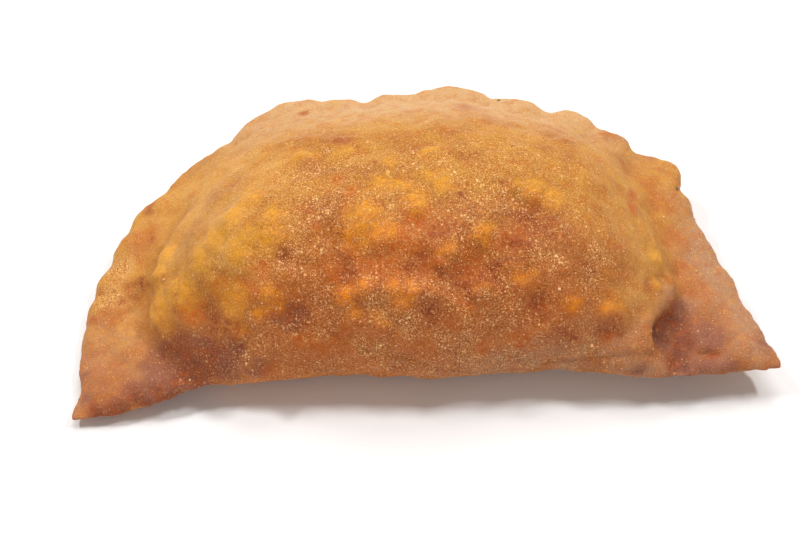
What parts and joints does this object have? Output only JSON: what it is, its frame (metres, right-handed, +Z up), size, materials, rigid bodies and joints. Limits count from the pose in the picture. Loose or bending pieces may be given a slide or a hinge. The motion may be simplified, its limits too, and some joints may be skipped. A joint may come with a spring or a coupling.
{
  "type": "panzerotto",
  "caption": "Fried half-moon pastry of folded dough: a plump filled belly behind the fold and a thin crimped flange round the curved edge.",
  "frame": {"origin": "bottom of the pastry, under the middle of its bounding box", "axes": "+X from the left tip to the right tip, +Y from the fold towards the sealed rim, +Z up from the belly it lies on"},
  "size_m": [0.1904, 0.105, 0.0471],
  "materials": {
    "crust": "golden brown fried dough, finely wrinkled and blistered, with a soft greasy sheen"
  },
  "bodies": {
    "root": {"panzerotto": "crust"}
  },
  "joints": []
}
